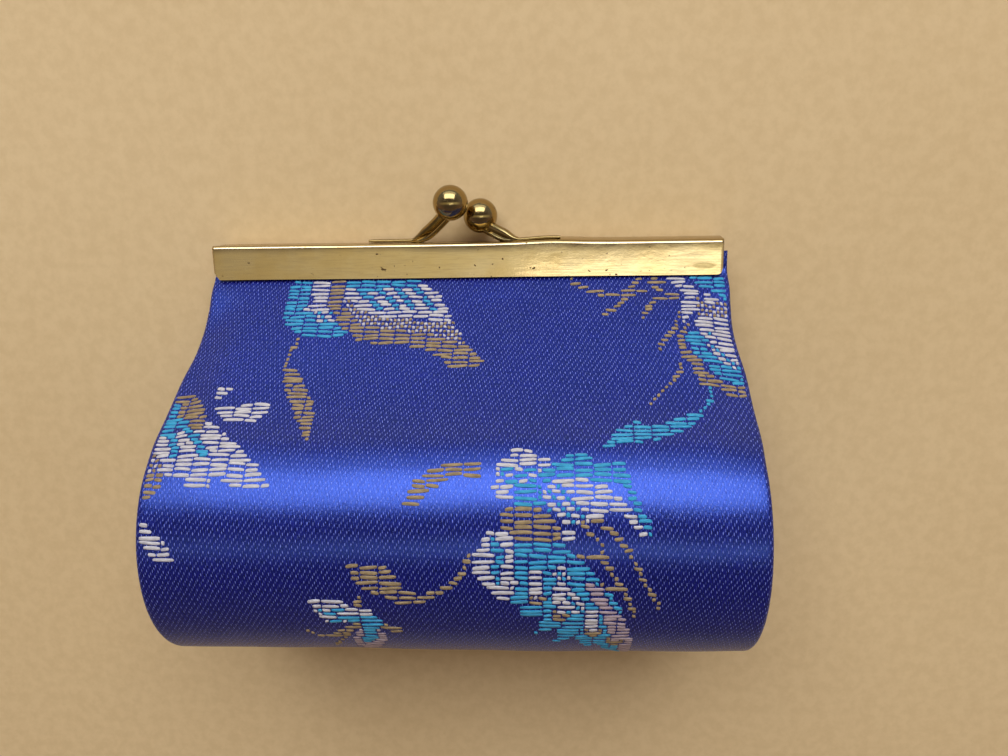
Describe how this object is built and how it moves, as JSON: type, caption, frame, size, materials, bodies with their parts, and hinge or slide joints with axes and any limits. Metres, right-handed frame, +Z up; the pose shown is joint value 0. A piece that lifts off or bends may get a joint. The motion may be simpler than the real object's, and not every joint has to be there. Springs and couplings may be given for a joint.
{
  "type": "coin purse",
  "caption": "Small brocade coin purse lying on its back: a stiff round-bellied pouch under a straight brass kiss-lock frame that hinges open.",
  "frame": {"origin": "on the surface that the purse lies on, under the middle of its bounding box", "axes": "+X along the frame's bars, +Y from the bottom of the pouch towards the clasp, +Z up through the front panel"},
  "size_m": [0.09, 0.0758, 0.042],
  "materials": {
    "frame_brass": "polished, with fine scratches and tarnish specks",
    "brocade": "royal blue satin brocade with raised weft floats",
    "board": "matt stiff interlining",
    "lining": "plain taffeta",
    "paper_cord": "twisted kraft paper",
    "thread": "polyester sewing thread"
  },
  "bodies": {
    "pouch": {"back_bar": "frame_brass", "back_arm_left": "frame_brass", "back_arm_right": "frame_brass", "rivet_left": "frame_brass", "rivet_right": "frame_brass", "back_stem": "frame_brass", "back_ball": "frame_brass", "back_packing_cord": "paper_cord", "body_brocade": "brocade", "body_board": "board", "body_lining": "lining", "side_brocade_left": "brocade", "side_brocade_right": "brocade", "gusset_fold_left": "brocade", "gusset_fold_right": "brocade", "side_lining_left": "lining", "side_lining_right": "lining", "fold_lining_left": "lining", "fold_lining_right": "lining", "seam_thread_left": "thread", "seam_thread_right": "thread"},
    "front_frame": {"front_bar": "frame_brass", "front_arm_left": "frame_brass", "front_arm_right": "frame_brass", "front_stem": "frame_brass", "front_ball": "frame_brass", "front_packing_cord": "paper_cord", "neck_brocade": "brocade", "neck_board": "board", "neck_lining": "lining"}
  },
  "joints": [
    {"name": "frame_hinge", "type": "hinge", "parent": "pouch", "child": "front_frame", "pos_m": [0, 0.00707, 0.0042], "axis": [1, 0, 0], "range_deg": [0, 60], "deforming": ["neck_brocade", "neck_board", "neck_lining", "gusset_fold_left", "gusset_fold_right", "fold_lining_left", "fold_lining_right"]}
  ]
}
